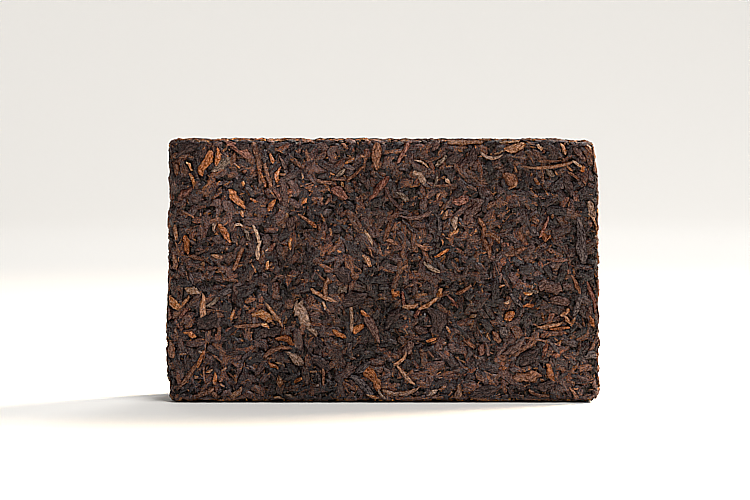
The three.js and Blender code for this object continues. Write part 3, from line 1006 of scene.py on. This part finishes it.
class ChosenLeaves(bpy.types.PropertyGroup):
    thickness: size("Thickness", "From a leaf's pressed back down to its rim", 0.6 * MM)
    levels: levels_span((0.2 * MM, 0.4 * MM))
    clearance: size("Clearance", "How far the tea around a leaf sinks under it", 0.4 * MM)
    wrinkle: size("Wrinkle", "Width of one of its wrinkles", 0.34 * MM)
    furrow: size("Furrow", "Depth of its wrinkles", 0.2 * MM)
    patch: size("Patch", "Size of darker and lighter patches", 1.8 * MM)
    regional: share("Regional", "How far its shade follows that of its region of the brick", 0.3)
    greying: share("Greying", "How far its surface turns grey in small patches", 0.5)
    wear: share("Wear", "How strongly the worn ridges show", 0.8)
    seed: any_number("Another number shapes them another way", 83)


# The dark, body and worn colours of each shade of chosen leaf
SHADE_RANGE = {
    "cream": ((0.14, 0.0800, 0.0507), (0.577, 0.327, 0.208), (0.888, 0.629, 0.468)),
    "grey_tan": ((0.0917, 0.0501, 0.0372), (0.371, 0.22, 0.151), (0.668, 0.458, 0.351)),
    "tan": ((0.105, 0.0448, 0.0282), (0.46, 0.211, 0.122), (0.77, 0.451, 0.282)),
    "gold": ((0.166, 0.0540, 0.0220), (0.860, 0.290, 0.102), (0.92, 0.66, 0.39)),
    "orange": ((0.0929, 0.0274, 0.0136), (0.551, 0.163, 0.0572), (0.864, 0.387, 0.165)),
    "rust": ((0.0429, 0.0186, 0.0153), (0.252, 0.105, 0.0631), (0.546, 0.269, 0.16)),
    "red": ((0.0396, 0.0164, 0.0154), (0.244, 0.0955, 0.0710), (0.562, 0.261, 0.181)),
    "pink": ((0.0290, 0.0146, 0.0138), (0.128, 0.0661, 0.0561), (0.326, 0.186, 0.146)),
    "slate": ((0.0167, 0.0114, 0.0120), (0.0784, 0.0561, 0.0583), (0.318, 0.231, 0.213)),
    "black": ((0.0116, 0.0067, 0.0071), (0.0421, 0.0231, 0.0229), (0.167, 0.0927, 0.0781)),
    "olive": ((0.0406, 0.0248, 0.0193), (0.217, 0.138, 0.0963), (0.572, 0.412, 0.319)),
}


class StudioSettings(bpy.types.PropertyGroup):
    floor: tint("Floor", "Colour of the floor and of the wall that it turns up into", (0.86, 0.835, 0.80))
    back: power("Back light", "Power of the lamp behind", 7.0)
    wall: power("Wall light", "Power of the lamp on the wall", 11.5)
    front: power("Front light", "Power of the lamp in front", 17.4)
    rim: power("Rim light", "Power of the lamp behind on the right", 3.2)
    air: FloatProperty(name="Air", description="Brightness of the air all round", default=0.33)
    distance: size("Camera distance", "From the camera to the brick's front", 0.566)
    crispness: share("Crispness", "How strongly the picture is sharpened", 0.2)
    lens: FloatProperty(name="Lens", description="Focal length", default=85.0, unit="CAMERA")


class TeaBrickSettings(bpy.types.PropertyGroup):
    brick: PointerProperty(type=BrickSizes)
    matted: PointerProperty(type=MattedTea)
    chosen: PointerProperty(type=ChosenLeaves)
    studio: PointerProperty(type=StudioSettings)


for kind, group in KIND_GROUPS.items():
    TeaBrickSettings.__annotations__[kind] = PointerProperty(type=group)

# ---------------------------------------------------------------- the pieces


CHOSEN_PIECE = "chosen_leaves"


def ready(name, make):
    """The tree of that name, made the first time that it is asked for."""
    return bpy.data.node_groups.get(name) or make()


def in_mould(piece, settings, *steps):
    """Puts the piece through its own trees and then presses it into the mould."""
    brick = settings.brick
    mould = ready("Press into the mould", mould_tree)
    return pressed(piece, *steps, (mould, {
        "Half Size": HALF,
        "Edge Radius": brick.edge_radius,
        "Foot Spread": FOOT_SPREAD,
        "Rim Width": brick.rim_width,
        "Rim Drop": brick.rim_drop,
        "Unevenness": brick.unevenness,
        "Waviness": brick.waviness,
        "Crumbled": brick.crumbled,
        "Pressing": brick.pressing,
        "Kept Clear": bpy.data.objects.get(CHOSEN_PIECE),
        "Clearance": 0.0 if piece.name == CHOSEN_PIECE else settings.chosen.clearance,
    }))


def cleared(shelf):
    """Throws away a collection and the forms in it."""
    for form in list(shelf.objects):
        mesh = form.data
        bpy.data.objects.remove(form)
        bpy.data.meshes.remove(mesh)
    bpy.data.collections.remove(shelf)


def laid_upright(mesh, across, up, turn, side):
    """Moves a flat leaf to its place on the block's front, or behind it on the back, where side is 1."""
    points = np.zeros(len(mesh.vertices) * 3, np.float32)
    mesh.vertices.foreach_get("co", points)
    x, y = points.reshape(-1, 3)[:, :2].T
    cos, sin = math.cos(turn), math.sin(turn)
    level = (x * cos - y * sin) * -side + across
    moved = np.stack([level, np.full_like(x, side * HALF.y), x * sin + y * cos + up], 1)
    mesh.vertices.foreach_set("co", moved.ravel())
    mesh.update()


class TEA_OT_chosen_leaves(bpy.types.Operator):
    """Lays the leaves that catch the eye, each in its own place"""

    bl_idname = "tea.chosen_leaves"
    bl_label = "Chosen leaves"

    form = Form(1, 12, 8, blunt=(0.15, 0.6), bow=(0.0, 0.0), wander=(0.05, 0.22), ragged=(0.08, 0.2),
                folds=(1.6, 3.4), plateau=(2.5, 5.0), dive=(0.1, 0.5), tilt=(-0.3, 0.3), pitch=(-0.2, 0.2),
                skew=(-1.2, 1.2))
    longer, wider = 1.1, 1.25  # as its ends and sides lie under its neighbours
    tones = (0.4, 0.8)

    def execute(self, context):
        settings = context.scene.tea_brick
        chosen = settings.chosen
        dice = np.random.default_rng(chosen.seed)
        shelf = bpy.data.collections.new(CHOSEN_PIECE + "_forms")
        places = [(shade, place) for shade, group in CHOSEN.items() for place in group]
        cells = math.ceil(math.sqrt(2 * len(places)))
        for number in range(2 * len(places)):
            shade, (across, up, degrees, length, width, bend) = places[number % len(places)]
            self.form.ranges["bow"] = (bend, bend)
            mesh = leaf_mesh(f"{CHOSEN_PIECE}_{number:03d}", dice, self.form, self.longer * length * MM,
                             self.wider * width * MM, chosen.thickness)
            side, up = (-1, up * MM - HALF.z) if number < len(places) else (1, HALF.z - up * MM)
            laid_upright(mesh, across * MM, up, math.radians(degrees), side)
            self.mark(mesh, dice, shade, chosen, (number % cells, number // cells))
            shelf.objects.link(bpy.data.objects.new(mesh.name, mesh))
        piece = new_piece(CHOSEN_PIECE, bpy.data.meshes.new(CHOSEN_PIECE))
        in_mould(piece, settings, (ready("Chosen leaves", chosen_tree), {
            "Leaves": shelf,
            "Cells": float(cells),
            "Material": leaf_finish(CHOSEN_PIECE, chosen, PALE_SHEEN),
        }))
        cleared(shelf)
        hand_over(piece)
        return {"FINISHED"}

    def mark(self, mesh, dice, shade, chosen, cell):
        """Gives a leaf its level, its shades and its own cell in the map."""
        count = len(mesh.vertices)
        height = np.zeros(count, np.float32)
        mesh.attributes["height"].data.foreach_get("value", height)
        mesh.attributes["height"].data.foreach_set("value", height + dice.uniform(*chosen.levels))
        put(mesh, "tone", np.full(count, dice.uniform(*self.tones)))
        for name, value in zip(SHADES, SHADE_RANGE[shade]):
            put(mesh, name, np.tile(value, count), "FLOAT_VECTOR")
        place = np.zeros(len(mesh.loops) * 3, np.float32)
        mesh.attributes["cell"].data.foreach_get("vector", place)
        mesh.attributes["cell"].data.foreach_set("vector", (place.reshape(-1, 3) + (*cell, 0)).ravel())


class TEA_OT_matted_core(bpy.types.Operator):
    """Makes the core of matted tea that the leaves lie on"""

    bl_idname = "tea.matted_core"
    bl_label = "Matted core"

    rounds = 4  # facets over a rounded edge

    def execute(self, context):
        settings = context.scene.tea_brick
        matted = settings.matted
        skin = block_skin("matted_core", settings.brick.edge_radius, matted.cell, self.rounds)
        core = new_piece("matted_core", skin)
        smooth(core.data)
        in_mould(core, settings, (ready("Matted tea", matted_tree), {
            "Depth": matted.depth,
            "Relief": matted.relief,
            "Crumb Size": matted.crumb,
            "Material": matted_finish("matted_tea", matted),
        }))
        hand_over(core)
        return {"FINISHED"}


class TEA_OT_loose_leaves(bpy.types.Operator):
    """Lays the loose leaves over the core, one piece for each kind"""

    bl_idname = "tea.loose_leaves"
    bl_label = "Loose leaves"

    cell, rounds = 3 * MM, 3  # facets of the skin that they are laid on, and those over a rounded edge
    drift = 10 * MM  # how far leaves keep lying the same way
    stray = 1.3  # how far one may turn from its neighbours, in radians
    scales = (0.8, 1.2)
    thicker = (0.75, 1.25)

    def execute(self, context):
        settings = context.scene.tea_brick
        for kind, (form, _) in KINDS.items():
            self.lay(kind, form, settings, getattr(settings, kind))
        return {"FINISHED"}

    def lay(self, kind, form, settings, look):
        dice = np.random.default_rng(look.seed)
        shelf = bpy.data.collections.new(kind + "_forms")
        for number in range(form.variety):
            mesh = leaf_mesh(f"{kind}_form_{number:02d}", dice, form, dice.uniform(*look.length),
                             dice.uniform(*look.width), look.thickness * dice.uniform(*self.thicker))
            shelf.objects.link(bpy.data.objects.new(mesh.name, mesh))
        piece = new_piece(kind, block_skin(kind, settings.brick.edge_radius, self.cell, self.rounds))
        area = 8 * (HALF.x * HALF.y + HALF.y * HALF.z + HALF.z * HALF.x)
        in_mould(piece, settings, (ready("Layer of leaves", leaf_layer_tree), {
            "Leaves": shelf,
            "Gap": look.gap,
            "Lowest": look.levels[0],
            "Highest": look.levels[1],
            "Smallest": self.scales[0],
            "Largest": self.scales[1],
            "Drift Size": self.drift,
            "Stray": self.stray,
            "Cells": float(math.ceil(math.sqrt(area) / look.gap)),
            "Seed": look.seed,
            "Material": leaf_finish(kind, look),
        }))
        cleared(shelf)
        hand_over(piece)


def soft_lamp(name, power, side, at, towards):
    lamp = bpy.data.lights.new(name, "AREA")
    lamp.shape = "RECTANGLE"
    lamp.size, lamp.size_y = side
    lamp.energy = power
    lamp.color = DAYLIGHT
    holder = bpy.data.objects.new(name, lamp)
    holder.location = at
    holder.rotation_euler = (Vector(towards) - Vector(at)).to_track_quat("-Z", "Y").to_euler()
    holder.visible_camera = False
    bpy.context.scene.collection.objects.link(holder)
    return lamp


class TEA_OT_studio(bpy.types.Operator):
    """Makes the floor, the lamps and the camera"""

    bl_idname = "tea.studio"
    bl_label = "Studio"

    # The floor is round and turns up into a wall behind the brick
    floor_radius = 1.3
    wall_bend = 0.9
    wall_height = 1.0
    sides = 96  # of the round floor
    steps = 24  # in the bend

    # Of each lamp: its size, its place and the place that it points at
    middle = (0, 0, HALF.z)
    lamps = {
        "back": ((0.5, 0.5), (0.4, 0.95, 1.4), middle),
        "wall": ((1.2, 0.4), (0.0, 0.9, 1.9), (0.0, 2.2, 0.6)),
        "front": ((0.8, 0.6), (0.65, -0.62, 1.4), middle),
        "rim": ((0.5, 0.5), (1.0, 0.45, 0.75), middle),
    }
    rim_spread = math.radians(40)
    air_colour = (0.95, 0.94, 0.92)

    # The camera looks down by this much, at a place this far left of the brick's middle and this far up
    pitch = math.radians(3.55)
    left_of_middle = 2.6 * MM
    above_floor = 49.4 * MM
    sensor_width = 36.0  # in millimetres, as Blender has it

    def execute(self, context):
        studio = context.scene.tea_brick.studio
        self.make_floor(studio)
        lamps = {
            name: soft_lamp(name + "_lamp", getattr(studio, name), *stand)
            for name, stand in self.lamps.items()
        }
        lamps["rim"].color = WARM_LIGHT
        lamps["rim"].spread = self.rim_spread
        world = bpy.data.worlds.new("studio_air")
        world.use_nodes = True
        graph = Graph(world.node_tree)
        values = {"Color": self.air_colour, "Strength": studio.air}
        air = graph.node("ShaderNodeBackground", None, values)
        graph.node("ShaderNodeOutputWorld", None, {"Surface": air})
        context.scene.world = world
        self.make_camera(studio)
        self.finish_picture(context.scene, studio)
        return {"FINISHED"}

    def finish_picture(self, scene, studio):
        """Plain colours, and a lens as crisp as this setting says."""
        scene.view_settings.view_transform = "Standard"
        scene.use_nodes = True
        graph = Graph(scene.node_tree)
        shown = graph.node("CompositorNodeGamma", None, {
            "Image": graph.node("CompositorNodeRLayers", None, None, "Image"),
            "Gamma": 1 / DISPLAY_GAMMA,
        })
        values = {"Fac": studio.crispness, "Image": shown}
        crisp = graph.node("CompositorNodeFilter", {"filter_type": "SHARPEN"}, values)
        back = graph.node("CompositorNodeGamma", None, {"Image": crisp, "Gamma": DISPLAY_GAMMA})
        graph.node("CompositorNodeComposite", None, {"Image": back})

    def make_floor(self, studio):
        profile = [(self.floor_radius, 0.0)]
        for i in range(1, self.steps + 1):
            turn = i / self.steps * math.pi / 2
            profile.append((self.floor_radius + self.wall_bend * math.sin(turn),
                            self.wall_bend * (1 - math.cos(turn))))
        profile.append((self.floor_radius + self.wall_bend, self.wall_bend + self.wall_height))
        sides = self.sides
        points = [(0.0, 0.0, 0.0)]
        for radius, height in profile:
            points += [(radius * math.cos(TURN * k / sides), radius * math.sin(TURN * k / sides), height)
                       for k in range(sides)]
        faces = [(0, 1 + k, 1 + (k + 1) % sides) for k in range(sides)]
        for ring in range(len(profile) - 1):
            a, b = 1 + ring * sides, 1 + (ring + 1) * sides
            faces += [(a + k, b + k, b + k + 1, a + k + 1) for k in range(sides // 2)]
        mesh = mesh_of("floor", points, faces)
        smooth(mesh)
        floor = new_piece("floor", mesh)
        material, graph = new_material("pale_floor")
        values = {"Base Color": tuple(studio.floor), "Roughness": 0.9}
        shader = graph.node("ShaderNodeBsdfPrincipled", None, values)
        graph.node("ShaderNodeOutputMaterial", None, {"Surface": shader})
        mesh.materials.append(material)

    def make_camera(self, studio):
        data = bpy.data.cameras.new("camera")
        data.lens = studio.lens
        data.sensor_width = self.sensor_width
        camera = bpy.data.objects.new("camera", data)
        away = Vector((0.0, -math.cos(self.pitch), math.sin(self.pitch)))
        target = Vector((-self.left_of_middle, LOW.y, self.above_floor))
        camera.location = target + away * studio.distance
        camera.rotation_euler = (math.pi / 2 - self.pitch, 0.0, 0.0)
        bpy.context.scene.collection.objects.link(camera)
        bpy.context.scene.camera = camera


OPERATORS = (TEA_OT_chosen_leaves, TEA_OT_matted_core, TEA_OT_loose_leaves, TEA_OT_studio)


class VIEW3D_PT_tea_brick(bpy.types.Panel):
    """The steps that make the tea brick, in order"""

    bl_label = "Tea brick"
    bl_idname = "VIEW3D_PT_tea_brick"
    bl_space_type = "VIEW_3D"
    bl_region_type = "UI"
    bl_category = "Tea brick"

    def draw(self, context):
        for operator in OPERATORS:
            self.layout.operator(operator.bl_idname)


CLASSES = (
    BrickSizes,
    MattedTea,
    *KIND_GROUPS.values(),
    ChosenLeaves,
    StudioSettings,
    TeaBrickSettings,
    *OPERATORS,
    VIEW3D_PT_tea_brick,
)


def register():
    for each in CLASSES:
        bpy.utils.register_class(each)
    bpy.types.Scene.tea_brick = PointerProperty(type=TeaBrickSettings)


def unregister():
    del bpy.types.Scene.tea_brick
    for each in reversed(CLASSES):
        bpy.utils.unregister_class(each)


def main():
    register()
    for leftover in ("Cube", "Light", "Camera"):
        if leftover in bpy.data.objects:
            bpy.data.objects.remove(bpy.data.objects[leftover])
    for operator in OPERATORS:
        group, step = operator.bl_idname.split(".")
        getattr(getattr(bpy.ops, group), step)()


if __name__ == "__main__":
    main()
